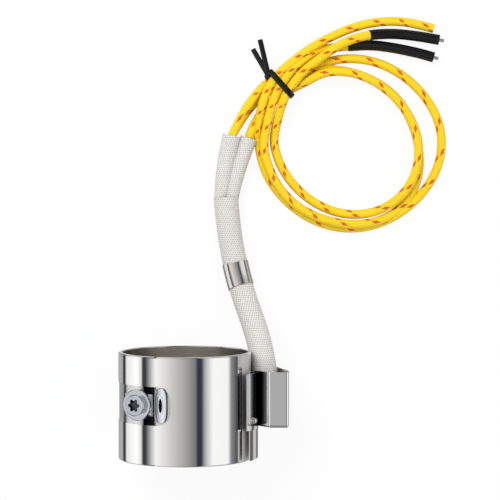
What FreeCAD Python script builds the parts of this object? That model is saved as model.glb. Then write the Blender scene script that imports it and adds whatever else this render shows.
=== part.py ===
import FreeCAD, Part
import math
import os
import re

import Sketcher
from FreeCAD import Placement, Rotation, Vector

# Band heater for a 45 mm nozzle, lying on its side with its three leads looped up beside it.
# Millimetres. Y is the bore's axis, Z is up, and the origin is the bore's centre at mid width.
# Angles round the band are measured from straight up (Z) towards the terminal cap (X).

doc = FreeCAD.newDocument("BandHeater")
sheet = doc.addObject("Spreadsheet::Sheet", "Sizes")

SIZES = {
    "bore_dia": 45,
    "band_width": 38.5,
    "shell_thick": 0.3,
    "mica_thick": 0.2,
    "former_thick": 0.2,
    "ribbon_thick": 0.1,
    "sheath_thick": 0.3,
    "rim_round": 0.45,
    "sheath_inset": 0.5,
    "slit_angle": -24.4,
    "slit_gap": 0.9,
    "ribbon_edge": 2.5,
    "ribbon_slot": 1.1,
    "tongue_angle": 63.5,
    "notch_angle": 52,
    "tongue_low": -7.8,
    "tongue_high": 11.7,
    "notch_round": 1.2,
    "raise_height": 2.1,
    "raised_front": 62.5,
    "raised_back": 128,
    "joggle_back": 134,
    "window_right": -4.4,
    "window_low": -4.9,
    "window_high": 8.7,
    "window_back": -7,
    "window_round": 4.8,
    "clamp_angle": -27,
    "clamp_mid": 2.3,
    "block_length": 10.9,
    "block_right": 0.4,
    "block_height": 7.6,
    "block_top": 25.0,
    "screw_x": -5.2,
    "thread_dia": 4.9,
    "thread_fit": 0.06,
    "screw_reach": 1.3,
    "head_dia": 7.6,
    "head_height": 1.9,
    "recess_dia": 4.6,
    "recess_depth": 1.2,
    "washer_dia": 11,
    "washer_thick": 1.0,
    "seat_fit": 0.02,
    "tab_left": 2.7,
    "tab_right": 6.1,
    "tab_flat": 1.1,
    "tab_height": 7.8,
    "tab_top": 25.6,
    "tab_hole": 2.3,
    "cap_low": -7.2,
    "cap_high": 12.7,
    "cap_outer": 37.2,
    "cap_shoulder": 30.0,
    "cap_root": 26.0,
    "cap_half": 10.2,
    "root_front": 4.87,
    "rear_root": 24.1,
    "rear_outer": 33.0,
    "cap_turn": 5,
    "cap_thick": 0.4,
    "cap_round": 1.1,
    "flange_angle": 57.5,
    "flange_root": 80.5,
    "rear_flange_root": 112,
    "rear_flange_angle": 125.5,
    "rivet_front": 68,
    "rivet_rear": 119.5,
    "rivet_low": -4.5,
    "rivet_dia": 2.6,
    "pad_thick": 0.8,
    "pad_low": -5.4,
    "pad_high": 4.6,
    "pad_half": 5,
    "barrel_dia": 3.1,
    "barrel_low": -3.5,
    "barrel_high": 3.2,
    "strip_thick": 0.5,
    "strip_width": 3,
    "sleeve_dia": 9,
    "lead_dia": 3.3,
    "end_sleeve_dia": 3.8,
    "upper_sleeve_length": 26,
    "lower_sleeve_length": 32,
    "wire_dia": 1.2,
    "wire_length": 1.8,
    "clip_length": 9.2,
    "clip_thick": 0.3,
    "coil_height": 3.4,
    "coil_outer_x": 34.4,
    "coil_outer_y": 33.4,
    "coil_inner_x": 25.6,
    "coil_inner_y": 25.2,
    "tie_width": 2.4,
    "tie_thick": 0.8,
    "tie_inner_width": 10.9,
    "tie_inner_height": 6.9,
    "tie_tail": 13,
}

for row, (alias, number) in enumerate(SIZES.items(), start=1):
    sheet.set(f"A{row}", alias.replace("_", " "))
    sheet.set(f"B{row}", str(number))
    sheet.setAlias(f"B{row}", alias)
doc.recompute()


def tied(expression):
    """The expression with each size's name read from the sheet."""
    return re.sub(r"\b([a-z]+(?:_[a-z]+)+)\b", r"Sizes.\1", str(expression))


def value(expression):
    return float(sheet.evalExpression(tied(expression)))


# Radii worked out from the layers, innermost first.
BORE = "(bore_dia / 2)"
MICA_IN = f"({BORE} + shell_thick)"
FORMER = f"({MICA_IN} + mica_thick)"
RIBBON = f"({FORMER} + former_thick)"
MICA_OUT = f"({RIBBON} + ribbon_thick)"
SHELL_OUT = f"({MICA_OUT} + mica_thick)"
CORE = f"({SHELL_OUT} + shell_thick)"
OUTSIDE = f"({CORE} + sheath_thick)"
RAISED = f"({OUTSIDE} + raise_height)"
HALF = "(band_width / 2)"
INNER_HALF = f"({HALF} - shell_thick)"
SLIT = f"(slit_gap / {BORE} * 57.2958)"


def body(label, turn=None):
    """A new body, turned round the bore's axis where an angle is given."""
    made = doc.addObject("PartDesign::Body", label)
    made.Label = label
    if turn is not None:
        made.Placement = Placement(Vector(), Rotation(Vector(0, 1, 0), value(turn)))
        made.setExpression("Placement.Rotation.Angle", tied(turn))
    return made


def sketch(owner, plane, turn=None, shift=None):
    """A sketch on one of the body's own planes, turned round the plane's upright or shifted along its normal."""
    made = owner.newObject("Sketcher::SketchObject", owner.Label + "_sketch")
    base = [f for f in owner.Origin.OriginFeatures if f.Role == plane][0]
    made.AttachmentSupport = [(base, "")]
    made.MapMode = "FlatFace"
    if turn is not None:
        made.AttachmentOffset = Placement(Vector(), Rotation(Vector(0, 1, 0), value(turn)))
        made.setExpression("AttachmentOffset.Rotation.Angle", tied(turn))
    if shift is not None:
        made.AttachmentOffset = Placement(Vector(0, 0, value(shift)), Rotation())
        made.setExpression("AttachmentOffset.Base.z", tied(shift))
    return made


def outline(drawing, corners):
    """A closed outline of straight lines whose corners are tied to the sheet."""
    start = drawing.GeometryCount
    places = [Vector(value(x), value(y), 0) for x, y in corners]
    count = len(corners)
    for i in range(count):
        drawing.addGeometry(Part.LineSegment(places[i], places[(i + 1) % count]), False)
    for i in range(count):
        here, after = start + i, start + (i + 1) % count
        drawing.addConstraint(Sketcher.Constraint("Coincident", here, 2, after, 1))
    for i, (x, y) in enumerate(corners):
        across = Sketcher.Constraint("DistanceX", -1, 1, start + i, 1, places[i].x)
        upward = Sketcher.Constraint("DistanceY", -1, 1, start + i, 1, places[i].y)
        for letter, limit, expression in (("x", across, x), ("y", upward, y)):
            index = drawing.addConstraint(limit)
            drawing.renameConstraint(index, f"{letter}{start + i}")
            drawing.setExpression(f"Constraints.{letter}{start + i}", tied(expression))


def box_outline(drawing, left, right, low, high):
    outline(drawing, [(left, low), (right, low), (right, high), (left, high)])


def circle(drawing, x, y, radius):
    """A circle with its centre and radius tied to the sheet."""
    index = drawing.GeometryCount
    centre = Vector(value(x), value(y), 0)
    drawing.addGeometry(Part.Circle(centre, Vector(0, 0, 1), value(radius)), False)
    limits = [
        (f"cx{index}", Sketcher.Constraint("DistanceX", -1, 1, index, 3, centre.x), x),
        (f"cy{index}", Sketcher.Constraint("DistanceY", -1, 1, index, 3, centre.y), y),
        (f"r{index}", Sketcher.Constraint("Radius", index, value(radius)), radius),
    ]
    for name, limit, expression in limits:
        number = drawing.addConstraint(limit)
        drawing.renameConstraint(number, name)
        drawing.setExpression(f"Constraints.{name}", tied(expression))


def feature(owner, kind, profile, **settings):
    """Adds a feature on a profile. Its numbers given as text are tied to the sheet."""
    made = owner.newObject("PartDesign::" + kind, f"{owner.Label}_{kind}")
    made.Profile = profile
    profile.Visibility = False
    for name, setting in settings.items():
        if isinstance(setting, str):
            setattr(made, name, value(setting))
            made.setExpression(name, tied(setting))
        else:
            setattr(made, name, setting)
    doc.recompute()
    return made


def pad(owner, profile, length, **settings):
    return feature(owner, "Pad", profile, Length=length, **settings)


def pocket(owner, profile, length, **settings):
    """A pocket that must take something away."""
    before = owner.Shape.Volume
    made = feature(owner, "Pocket", profile, Length=length, **settings)
    if owner.Shape.Volume > before - 1e-4:
        raise ValueError(owner.Label + ": a pocket cuts nothing")
    return made


def rounded_pocket(owner, plane, sides, end, radius, depth, **settings):
    """A rectangular pocket whose two corners at one end are rounded."""
    left, right, low, high = sides
    near_left, near_right = f"{left} + {radius}", f"{right} - {radius}"
    near_low, near_high = f"{low} + {radius}", f"{high} - {radius}"
    if end == "left":
        boxes = [(near_left, right, low, high), (left, right, near_low, near_high)]
        centres = [(near_left, near_low), (near_left, near_high)]
    elif end == "right":
        boxes = [(left, near_right, low, high), (left, right, near_low, near_high)]
        centres = [(near_right, near_low), (near_right, near_high)]
    else:
        boxes = [(left, right, near_low, high), (near_left, near_right, low, high)]
        centres = [(near_left, near_low), (near_right, near_low)]
    for sides in boxes:
        drawing = sketch(owner, plane)
        box_outline(drawing, *sides)
        pocket(owner, drawing, depth, **settings)
    drawing = sketch(owner, plane)
    for centre in centres:
        circle(drawing, *centre, radius)
    pocket(owner, drawing, depth, **settings)


def revolve(owner, profile, angle):
    """A revolution round the bore's axis, half to each side of its sketch."""
    return feature(
        owner, "Revolution", profile, ReferenceAxis=(profile, ["V_Axis"]), Midplane=True, Angle=angle
    )


def dress(owner, kind, size, wanted):
    """A fillet or chamfer on the body's edges that the test picks."""
    base = owner.Tip
    names = [f"Edge{i}" for i, e in enumerate(base.Shape.Edges, start=1) if wanted(e)]
    made = owner.newObject("PartDesign::" + kind, f"{owner.Label}_{kind}")
    made.Base = (base, names)
    where = "Radius" if kind == "Fillet" else "Size"
    setattr(made, where, value(size))
    made.setExpression(where, tied(size))
    doc.recompute()
    return made


def layer(label, inner, thick, half):
    """One thin layer of the band, open at the slit."""
    made = body(label, "slit_angle + 90")
    drawing = sketch(made, "XY_Plane")
    box_outline(drawing, inner, f"{inner} + {thick}", f"-{half}", half)
    revolve(made, drawing, f"360 - {SLIT}")
    return made


def is_round(edge, radius):
    curve = edge.Curve
    return isinstance(curve, Part.Circle) and abs(curve.Radius - radius) < 1e-3


# Inner shell: the bore's wall with both rims rolled outward over the core.
inner_shell = body("inner_shell", "slit_angle + 90")
drawing = sketch(inner_shell, "XY_Plane")
outline(
    drawing,
    [
        (BORE, f"-{HALF}"),
        (CORE, f"-{HALF}"),
        (CORE, f"-{INNER_HALF}"),
        (MICA_IN, f"-{INNER_HALF}"),
        (MICA_IN, INNER_HALF),
        (CORE, INNER_HALF),
        (CORE, HALF),
        (BORE, HALF),
    ],
)
revolve(inner_shell, drawing, f"360 - {SLIT}")
outer_rims = (value(BORE), value(CORE))
dress(
    inner_shell,
    "Fillet",
    "min(rim_round, shell_thick * 0.9)",
    lambda e: any(is_round(e, r) for r in outer_rims) and abs(e.BoundBox.YMax) > value(INNER_HALF) + 0.01
    and abs(abs(e.BoundBox.YMax) - value(HALF)) < 1e-3,
)

# The core: mica on both sides of a former that carries the resistance ribbon.
inner_mica = layer("inner_mica", MICA_IN, "mica_thick", INNER_HALF)
mica_former = layer("mica_former", FORMER, "former_thick", INNER_HALF)
outer_mica = layer("outer_mica", MICA_OUT, "mica_thick", INNER_HALF)
outer_shell = layer("outer_shell", SHELL_OUT, "shell_thick", INNER_HALF)

# Heating ribbon: one strip that runs up and down the former, cut as a meander by slots from both edges.
heating_ribbon = layer("heating_ribbon", RIBBON, "ribbon_thick * 0.8", f"({INNER_HALF} - ribbon_edge / 2)")
for side in (1, -1):
    drawing = sketch(heating_ribbon, "YZ_Plane")
    edge_end = f"{side} * ({INNER_HALF})"
    bridge_end = f"{-side} * ({INNER_HALF} - ribbon_edge * 1.5)"
    low_end, high_end = (bridge_end, edge_end) if side > 0 else (edge_end, bridge_end)
    shift = "0" if side > 0 else "1.5 * ribbon_slot"
    box_outline(drawing, low_end, high_end, f"{shift} - ribbon_slot / 2", f"{shift} + ribbon_slot / 2")
    slot = pocket(heating_ribbon, drawing, f"{OUTSIDE}", Reversed=True)
    axis = [f for f in heating_ribbon.Origin.OriginFeatures if f.Role == "Y_Axis"][0]
    pattern = heating_ribbon.newObject("PartDesign::PolarPattern", f"ribbon_slots_{side + 1}")
    pattern.Originals = [slot]
    pattern.Axis = (axis, [""])
    pattern.Occurrences = 39
    pattern.Angle = 320
    heating_ribbon.Tip = pattern
    doc.recompute()

# Outer sheath: one polished strip round the band, stepped up under the terminal cap.
outer_sheath = body("outer_sheath")
sheath_half = f"({HALF} - sheath_inset)"
drawing = sketch(outer_sheath, "XY_Plane", turn="(tongue_angle + joggle_back - 360) / 2 - 90")
box_outline(drawing, CORE, OUTSIDE, f"-{sheath_half}", sheath_half)
revolve(outer_sheath, drawing, "360 - joggle_back + tongue_angle")
drawing = sketch(outer_sheath, "XY_Plane", turn="(raised_front + raised_back) / 2 - 90")
box_outline(drawing, f"{RAISED} - sheath_thick", RAISED, f"-{sheath_half}", sheath_half)
revolve(outer_sheath, drawing, "raised_back - raised_front")
drawing = sketch(outer_sheath, "XZ_Plane")
low_turn, high_turn = "joggle_back * 1 deg", "raised_back * 1 deg"
outline(
    drawing,
    [
        (f"{CORE} * sin({low_turn})", f"{CORE} * cos({low_turn})"),
        (f"{OUTSIDE} * sin({low_turn})", f"{OUTSIDE} * cos({low_turn})"),
        (f"{RAISED} * sin({high_turn})", f"{RAISED} * cos({high_turn})"),
        (f"({RAISED} - sheath_thick) * sin({high_turn})", f"({RAISED} - sheath_thick) * cos({high_turn})"),
    ],
)
pad(outer_sheath, drawing, f"2 * {sheath_half}", Midplane=True)

# The two notches that leave the tongue, and the way out for the sleeve.
notch_left = f"{OUTSIDE} * sin(notch_angle * 1 deg)"
notch_right = f"({RAISED} - sheath_thick) * sin(raised_front * 1 deg) - 0.4"
for low, high in (("tongue_high", f"{HALF} + notch_round"), (f"-{HALF} - notch_round", "tongue_low")):
    sides = (notch_left, notch_right, low, high)
    rounded_pocket(outer_sheath, "XY_Plane", sides, "left", "notch_round", RAISED, Reversed=True)
drawing = sketch(outer_sheath, "YZ_Plane")
box_outline(drawing, "pad_low - 0.5", HALF, "cap_thick + 0.2 - cap_half", "root_front - 0.6")
pocket(outer_sheath, drawing, f"{RAISED} + 1", Reversed=True)
drawing = sketch(outer_sheath, "XZ_Plane", shift=f"-{HALF}")
reach = f"{RAISED} + 1"
step_back = f"{OUTSIDE} * sin({low_turn})"
outline(
    drawing,
    [
        (f"{step_back}", f"{RAISED} * cos({low_turn}) - 2"),
        (reach, f"{RAISED} * cos({low_turn}) - 2"),
        (reach, "cap_half + 4"),
        (notch_right, "cap_half + 4"),
        (notch_right, "0"),
        (f"{step_back}", "0"),
    ],
)
pocket(outer_sheath, drawing, f"{HALF} - cap_high - 0.2", Reversed=True)

# The window over the clamp, open from the front to past the left side.
front_sides = (f"-{OUTSIDE} * 0.72", "window_right", "window_low", "window_high")
rounded_pocket(outer_sheath, "XY_Plane", front_sides, "right", "window_round", RAISED, Reversed=True)
left_sides = ("window_low", "window_high", "window_back", f"{OUTSIDE} * 0.74")
rounded_pocket(outer_sheath, "YZ_Plane", left_sides, "low", "window_round", RAISED)

# Clamp block: a saddle on the left end of the core that the screw threads into.
clamp_block = body("clamp_block", "clamp_angle")
drawing = sketch(clamp_block, "XZ_Plane", shift="-clamp_mid")
box_outline(drawing, "block_right - block_length", "block_right", f"{BORE} - 3", "block_top")
pad(clamp_block, drawing, "block_height", Midplane=True)
drawing = sketch(clamp_block, "XZ_Plane")
circle(drawing, 0, 0, f"{CORE} + seat_fit")
pocket(clamp_block, drawing, "band_width * 2", Midplane=True)
drawing = sketch(clamp_block, "XY_Plane")
circle(drawing, "screw_x", "clamp_mid", "thread_dia / 2 + thread_fit")
pocket(clamp_block, drawing, "block_top + 2", Reversed=True)
dress(
    clamp_block,
    "Chamfer",
    "0.4",
    lambda e: abs(e.BoundBox.ZMin - value("block_top")) < 1e-3 and isinstance(e.Curve, Part.Line),
)

# Clamp tab: the catch on the other side of the slit, with a ramp that faces the screw.
clamp_tab = body("clamp_tab", "clamp_angle")
drawing = sketch(clamp_tab, "XZ_Plane", shift="-clamp_mid")
outline(
    drawing,
    [
        ("tab_left", f"{BORE} - 2"),
        ("tab_right", f"{BORE} - 2"),
        ("tab_right", "tab_top"),
        ("tab_right - tab_flat", "tab_top"),
        ("tab_left", f"{CORE} + 0.3"),
    ],
)
pad(clamp_tab, drawing, "tab_height", Midplane=True)
drawing = sketch(clamp_tab, "XZ_Plane")
circle(drawing, 0, 0, f"{CORE} + seat_fit")
pocket(clamp_tab, drawing, "band_width * 2", Midplane=True)
drawing = sketch(clamp_tab, "XY_Plane")
circle(drawing, "tab_left + tab_hole * 0.75", "clamp_mid", "tab_hole / 2")
pocket(clamp_tab, drawing, "tab_top + 2", Reversed=True)

# Washer and low-head screw with a six-lobed recess.
washer_low = "(block_top + seat_fit)"
head_low = f"({washer_low} + washer_thick + seat_fit)"
clamp_washer = body("clamp_washer", "clamp_angle")
drawing = sketch(clamp_washer, "XY_Plane", shift=washer_low)
circle(drawing, "screw_x", "clamp_mid", "washer_dia / 2")
circle(drawing, "screw_x", "clamp_mid", "thread_dia / 2 + thread_fit * 2")
pad(clamp_washer, drawing, "washer_thick")
dress(
    clamp_washer,
    "Chamfer",
    "0.25",
    lambda e: is_round(e, value("washer_dia / 2")) and abs(e.BoundBox.ZMin - value(f"{washer_low} + washer_thick")) < 1e-3,
)

clamp_screw = body("clamp_screw", "clamp_angle")
drawing = sketch(clamp_screw, "XY_Plane", shift=head_low)
circle(drawing, "screw_x", "clamp_mid", "head_dia / 2")
pad(clamp_screw, drawing, "head_height")
drawing = sketch(clamp_screw, "XY_Plane", shift=head_low)
circle(drawing, "screw_x", "clamp_mid", "thread_dia / 2")
pad(clamp_screw, drawing, "washer_thick + screw_reach", Reversed=True)
drawing = sketch(clamp_screw, "XY_Plane", shift=f"{head_low} + head_height")
circle(drawing, "screw_x", "clamp_mid", "recess_dia * 0.36")
pocket(clamp_screw, drawing, "recess_depth")
for lobe in range(6):
    turn = f"{60 * lobe} * 1 deg"
    drawing = sketch(clamp_screw, "XY_Plane", shift=f"{head_low} + head_height")
    circle(
        drawing,
        f"screw_x + recess_dia * 0.36 * cos({turn})",
        f"clamp_mid + recess_dia * 0.36 * sin({turn})",
        "recess_dia * 0.14",
    )
    pocket(clamp_screw, drawing, "recess_depth")
dress(
    clamp_screw,
    "Fillet",
    "0.5",
    lambda e: is_round(e, value("head_dia / 2")) and e.BoundBox.ZMin > value(f"{head_low} + head_height") - 1e-3,
)

# Terminal cap: a folded box, open towards the sleeve and the band, with a flange on each side.
terminal_cap = body("terminal_cap")
cap_length = "(cap_high - cap_low)"
cap_shift = "-(cap_high + cap_low) / 2"
drawing = sketch(terminal_cap, "XZ_Plane", shift=cap_shift)
outline(
    drawing,
    [
        ("rear_root", "-cap_half"),
        ("rear_outer", "-cap_half"),
        ("cap_outer", "cap_turn"),
        ("cap_outer", "cap_half"),
        ("cap_shoulder", "cap_half"),
        ("cap_root", "root_front"),
    ],
)
pad(terminal_cap, drawing, cap_length, Midplane=True)


def is_cap_fold(edge):
    box = edge.BoundBox
    upright = abs(box.YLength - value(cap_length)) < 1e-3
    floor_fold = abs(box.YMax - value("cap_low")) < 1e-3 and box.XMax > value("cap_root") + 0.1
    return box.XMax > value("cap_root") + 0.1 and (upright or floor_fold)


dress(terminal_cap, "Fillet", "cap_round", is_cap_fold)
slope = "((cap_half - root_front) / (cap_shoulder - cap_root))"
lean = "((cap_outer - rear_outer) / (cap_turn + cap_half))"
stretch_of_lean = f"sqrt(1 + {lean} ^ 2)"
inside = "(cap_half - cap_thick)"
drawing = sketch(terminal_cap, "XZ_Plane", shift="-cap_high - 1")
outline(
    drawing,
    [
        ("rear_root - 0.5", f"-{inside}"),
        (f"cap_outer - cap_thick * {stretch_of_lean} - (cap_turn + {inside}) * {lean}", f"-{inside}"),
        ("cap_outer - cap_thick", f"cap_turn + cap_thick * ({stretch_of_lean} - 1) / {lean}"),
        ("cap_outer - cap_thick", inside),
        (f"cap_shoulder + cap_thick * tan(atan({slope}) / 2)", inside),
        ("cap_root - 0.5", f"root_front - cap_thick * sqrt(1 + {slope} ^ 2) - 0.5 * {slope}"),
    ],
)
pocket(terminal_cap, drawing, "cap_high - cap_low - cap_thick + 1", Reversed=True)
dress(
    terminal_cap,
    "Fillet",
    "cap_round - cap_thick",
    lambda e: abs(e.BoundBox.YLength - value("cap_high - cap_low - cap_thick")) < 1e-3
    and e.BoundBox.XMax > value("cap_shoulder"),
)
drawing = sketch(terminal_cap, "XZ_Plane")
circle(drawing, 0, 0, f"{RAISED} + seat_fit")
pocket(terminal_cap, drawing, "band_width * 2", Midplane=True)
flange_in = f"({RAISED} + seat_fit)"
for near, far in (("flange_angle", "flange_root"), ("rear_flange_root", "rear_flange_angle")):
    drawing = sketch(terminal_cap, "XY_Plane", turn=f"({near} + {far}) / 2 - 90")
    box_outline(drawing, flange_in, f"{flange_in} + cap_thick", "cap_low - 0.6", "cap_high - 0.4")
    revolve(terminal_cap, drawing, f"{far} - {near}")

# Rivets that hold the cap's flanges down on the raised sheath.
cap_rivets = doc.addObject("Part::MultiFuse", "cap_rivets")
cap_rivets.Label = "cap_rivets"
rivets = []
for around in ("rivet_front", "rivet_rear"):
    for place in ("rivet_low",):
        head = doc.addObject("Part::Sphere", f"rivet_{len(rivets)}")
        head.setExpression("Radius", tied("rivet_dia / 2"))
        head.Angle1 = 0
        angle = math.radians(90 - value(around))
        lift = value(f"{flange_in} + cap_thick + 0.01")
        place_at = Vector(lift * math.cos(angle), value(place), lift * math.sin(angle))
        head.Placement = Placement(place_at, Rotation(Vector(0, 0, 1), Vector(math.cos(angle), 0, math.sin(angle))))
        rivets.append(head)
cap_rivets.Shapes = rivets
doc.recompute()


def plain_box(label, left, right, low, high, bottom, top):
    """A box given by its two corners, tied to the sheet."""
    made = doc.addObject("Part::Box", label)
    made.Label = label
    sides = {"Length": (left, right), "Width": (low, high), "Height": (bottom, top)}
    for name, (near, far) in sides.items():
        setattr(made, name, value(f"({far}) - ({near})"))
        made.setExpression(name, tied(f"({far}) - ({near})"))
    for letter, near in zip("xyz", (left, low, bottom)):
        made.setExpression(f"Placement.Base.{letter}", tied(near))
    return made


def gather(label, members):
    """Separate solids of one kind, kept together."""
    made = doc.addObject("Part::Compound", label)
    made.Label = label
    made.Links = members
    return made


# Inside the cap: a mica pad on the core, three terminal strips and the crimp barrels on the lead ends.
SLEEVE_ENTRY = Vector(29.7, 5.4, -3.3)
terminal_pad = plain_box(
    "terminal_pad",
    f"{CORE} + 0.05",
    f"{CORE} + 0.05 + pad_thick",
    "pad_low",
    "pad_high",
    f"{SLEEVE_ENTRY.z} - pad_half",
    f"{SLEEVE_ENTRY.z} + pad_half",
)
barrels, strips, ends = [], [], []
bundle = 1.16 * value("lead_dia / 2")
for number, degrees in enumerate((0, 122, -122)):
    angle = math.radians(degrees)
    x = SLEEVE_ENTRY.x + bundle * math.cos(angle)
    z = SLEEVE_ENTRY.z + bundle * math.sin(angle)
    for label, group, dia, low, high in (
        ("barrel", barrels, "barrel_dia", "barrel_low", "barrel_high"),
        ("end", ends, "lead_dia", "barrel_high", f"{SLEEVE_ENTRY.y - 1}"),
    ):
        tube = doc.addObject("Part::Cylinder", f"{label}_{number}")
        tube.setExpression("Radius", tied(f"{dia} / 2"))
        tube.setExpression("Height", tied(f"({high}) - ({low})"))
        tube.Placement = Placement(Vector(x, value(low), z), Rotation(Vector(1, 0, 0), -90))
        tube.setExpression("Placement.Base.y", tied(low))
        group.append(tube)
    inward = (0, 0, 1.25)[number]
    touch = math.sqrt(value("barrel_dia / 2") ** 2 - max(inward - value("strip_thick / 2"), 0) ** 2)
    near, far = f"{CORE} + 0.05 + pad_thick", f"{x - touch:.3f} - seat_fit"
    if number == 0:
        wall = f"cap_outer - cap_thick * {stretch_of_lean} - (cap_turn - ({z:.3f}) + strip_thick) * {lean}"
        near, far = f"{x + touch:.3f} + seat_fit", wall
    middle = f"{z + inward:.3f}"
    strip_low = "barrel_low + 0.5"
    strips.append(
        plain_box(
            f"strip_{number}",
            near,
            far,
            strip_low,
            f"{strip_low} + strip_width",
            f"{middle} - strip_thick / 2",
            f"{middle} + strip_thick / 2",
        )
    )
gather("crimp_barrels", barrels)
gather("terminal_strips", strips)
gather("lead_ends", ends)
doc.recompute()

# The leads and sleeves lie on the same surface as the band.
FLOOR = -value(OUTSIDE)
LEAD = value("lead_dia / 2")


def route(points, name=""):
    """A path of straight runs and tangent arcs. Each arc is as large as its two runs allow."""
    places = [Vector(*p) for p in points]
    edges, start, radii = [], places[0], []
    for before, here, after in zip(places, places[1:], places[2:]):
        way_in, way_out = (here - before), (after - here)
        reach = 0.45 * min(way_in.Length, way_out.Length)
        turn = way_in.getAngle(way_out)
        radii.append(reach / math.tan(turn / 2))
        way_in.normalize()
        way_out.normalize()
        first, last = here - way_in * reach, here + way_out * reach
        inward = (way_out - way_in).normalize()
        centre = here + inward * math.hypot(reach, radii[-1])
        middle = centre + (here - centre).normalize() * radii[-1]
        edges.append(Part.LineSegment(start, first).toShape())
        edges.append(Part.Arc(first, middle, last).toShape())
        start = last
    edges.append(Part.LineSegment(start, places[-1]).toShape())
    print(name, "bend radii", [round(r, 1) for r in radii])
    return Part.Wire(edges)


def tube_shape(path, radius, bore=0.0):
    """A round tube along a path, compared with its section times its length."""
    start = path.Edges[0]
    at = start.valueAt(start.FirstParameter)
    way = start.tangentAt(start.FirstParameter)
    made = path.makePipeShell([Part.Wire(Part.makeCircle(radius, at, way))], True, True)
    wanted = math.pi * radius**2 * path.Length
    if bore:
        made = made.cut(path.makePipeShell([Part.Wire(Part.makeCircle(bore, at, way))], True, True))
        wanted -= math.pi * bore**2 * path.Length
    if abs(made.Volume / wanted - 1) > 0.01:
        raise ValueError("a tube's volume is off")
    return made


def solid_piece(label, shape):
    made = doc.addObject("Part::Feature", label)
    made.Label = label
    made.Shape = shape
    return made


def stretch(path, start, end):
    """The part of a path between two distances from its start, as a wire."""
    edges, along = [], 0.0
    for edge in path.Edges:
        low, high = max(start - along, 0.0), min(end - along, edge.Length)
        if high - low > 1e-6:
            first = edge.getParameterByLength(low)
            last = edge.getParameterByLength(high)
            edges.append(edge.Curve.toShape(first, last))
        along += edge.Length
    return Part.Wire(edges)


# Thick woven sleeve, from inside the cap down to the surface and along it.
SLEEVE_ROUTE = [
    tuple(SLEEVE_ENTRY),
    (28.5, 12.7, -4.2),
    (27.35, 19.2, -7.6),
    (25.3, 26.5, -12.0),
    (22.3, 34.5, -16.0),
    (19.3, 43.6, -18.7),
    (17.0, 53.6, FLOOR + 4.55),
    (15.3, 64.0, FLOOR + 4.7),
    (14.4, 74.4, FLOOR + 4.55),
]
sleeve_path = route(SLEEVE_ROUTE, "outer_sleeve")
outer_sleeve = tube_shape(sleeve_path, value("sleeve_dia / 2"))
mouth_depth = 3.0
mouth = stretch(sleeve_path, sleeve_path.Length - mouth_depth, sleeve_path.Length)
mouth_wall = 0.6
solid_piece("outer_sleeve", outer_sleeve.cut(tube_shape(mouth, value("sleeve_dia / 2") - mouth_wall)))

# Metal clip crimped round the sleeve.
clip_middle = 45.2
clip_half = value("clip_length / 2")
clip_path = stretch(sleeve_path, clip_middle - clip_half, clip_middle + clip_half)
clip_bore = value("sleeve_dia / 2 + seat_fit")
solid_piece("sleeve_clip", tube_shape(clip_path, clip_bore + value("clip_thick"), clip_bore))


def oval(centre, way, across, upward):
    """An upright oval ring square to a level direction."""
    level = Vector(-way.y, way.x, 0).normalize()
    flat = Part.makeCircle(1, Vector(), Vector(0, 0, 1))
    matrix = FreeCAD.Matrix(
        level.x * across, 0, way.x, centre.x,
        level.y * across, 0, way.y, centre.y,
        0, upward, 0, centre.z,
        0, 0, 0, 1,
    )
    shape = flat.transformGeometry(matrix)
    return Part.Wire(shape.Edges)


# Two thin sleeves, pressed into the thick one's mouth and opening towards the leads.
THIN_SLEEVES = {
    "inner_sleeve_left": [
        ((12.5, 72.6, FLOOR + 4.55), 1.5, 2.75),
        ((12.75, 79.5, FLOOR + 4.2), 2.4, 3.5),
        ((14.1, 88.0, FLOOR + 3.7), 3.1, 3.55),
        ((16.2, 96.5, FLOOR + 3.6), 3.2, 3.5),
    ],
    "inner_sleeve_right": [
        ((16.1, 72.6, FLOOR + 4.55), 1.5, 2.75),
        ((17.3, 79.5, FLOOR + 4.2), 1.9, 3.3),
        ((19.9, 88.0, FLOOR + 3.6), 2.4, 3.3),
        ((22.45, 95.5, FLOOR + 3.3), 2.9, 3.15),
    ],
}
for label, sections in THIN_SLEEVES.items():
    centres = [Vector(*s[0]) for s in sections]
    rings = []
    for i, (_, across, upward) in enumerate(sections):
        way = centres[min(i + 1, len(centres) - 1)] - centres[max(i - 1, 0)]
        way.z = 0
        way.normalize()
        rings.append(oval(centres[i], way, across, upward))
    solid_piece(label, Part.makeLoft(rings, True, False))

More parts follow.
